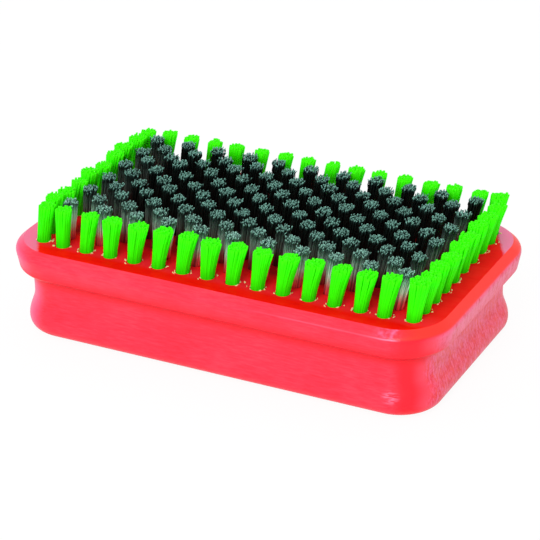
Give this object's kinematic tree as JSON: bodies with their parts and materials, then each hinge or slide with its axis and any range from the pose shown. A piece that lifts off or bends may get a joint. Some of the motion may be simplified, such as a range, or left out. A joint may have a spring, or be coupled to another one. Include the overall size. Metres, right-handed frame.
{
  "type": "ski wax brush",
  "caption": "Hand brush for polishing waxed ski bases: a lacquered wooden block with a finger groove round its sides, drilled tufts of soft dark nylon and a border of stiffer green nylon.",
  "frame": {"origin": "centre of the flat back that the brush lies on, under the middle of the block", "axes": "+X along the block's length, +Y across it, +Z from the back towards the bristle tips"},
  "size_m": [0.13, 0.076, 0.0408],
  "materials": {
    "lacquered_wood": "red satin lacquer over fine straight grain, with pale bare wood at the rims of the drilled holes",
    "green_nylon": "vivid green straight filaments with cut ends",
    "black_nylon": "dark filaments with crimped, slightly shiny grey-green tips"
  },
  "bodies": {
    "root": {"wood_block": "lacquered_wood", "front_green_tuft_01": "green_nylon", "front_green_tuft_02": "green_nylon", "front_green_tuft_03": "green_nylon", "front_green_tuft_04": "green_nylon", "front_green_tuft_05": "green_nylon", "front_green_tuft_06": "green_nylon", "front_green_tuft_07": "green_nylon", "front_green_tuft_08": "green_nylon", "front_green_tuft_09": "green_nylon", "front_green_tuft_10": "green_nylon", "front_green_tuft_11": "green_nylon", "front_green_tuft_12": "green_nylon", "front_green_tuft_13": "green_nylon", "front_green_tuft_14": "green_nylon", "front_green_tuft_15": "green_nylon", "front_green_tuft_16": "green_nylon", "back_green_tuft_01": "green_nylon", "back_green_tuft_02": "green_nylon", "back_green_tuft_03": "green_nylon", "back_green_tuft_04": "green_nylon", "back_green_tuft_05": "green_nylon", "back_green_tuft_06": "green_nylon", "back_green_tuft_07": "green_nylon", "back_green_tuft_08": "green_nylon", "back_green_tuft_09": "green_nylon", "back_green_tuft_10": "green_nylon", "back_green_tuft_11": "green_nylon", "back_green_tuft_12": "green_nylon", "back_green_tuft_13": "green_nylon", "back_green_tuft_14": "green_nylon", "back_green_tuft_15": "green_nylon", "back_green_tuft_16": "green_nylon", "left_green_tuft_01": "green_nylon", "left_green_tuft_02": "green_nylon", "left_green_tuft_03": "green_nylon", "left_green_tuft_04": "green_nylon", "left_green_tuft_05": "green_nylon", "left_green_tuft_06": "green_nylon", "left_green_tuft_07": "green_nylon", "left_green_tuft_08": "green_nylon", "right_green_tuft_01": "green_nylon", "right_green_tuft_02": "green_nylon", "right_green_tuft_03": "green_nylon", "right_green_tuft_04": "green_nylon", "right_green_tuft_05": "green_nylon", "right_green_tuft_06": "green_nylon", "right_green_tuft_07": "green_nylon", "right_green_tuft_08": "green_nylon", "black_tuft_row_01": "black_nylon", "black_tuft_row_02": "black_nylon", "black_tuft_row_03": "black_nylon", "black_tuft_row_04": "black_nylon", "black_tuft_row_05": "black_nylon", "black_tuft_row_06": "black_nylon", "black_tuft_row_07": "black_nylon", "black_tuft_row_08": "black_nylon", "black_tuft_row_09": "black_nylon", "black_tuft_row_10": "black_nylon", "black_tuft_row_11": "black_nylon"}
  },
  "joints": []
}
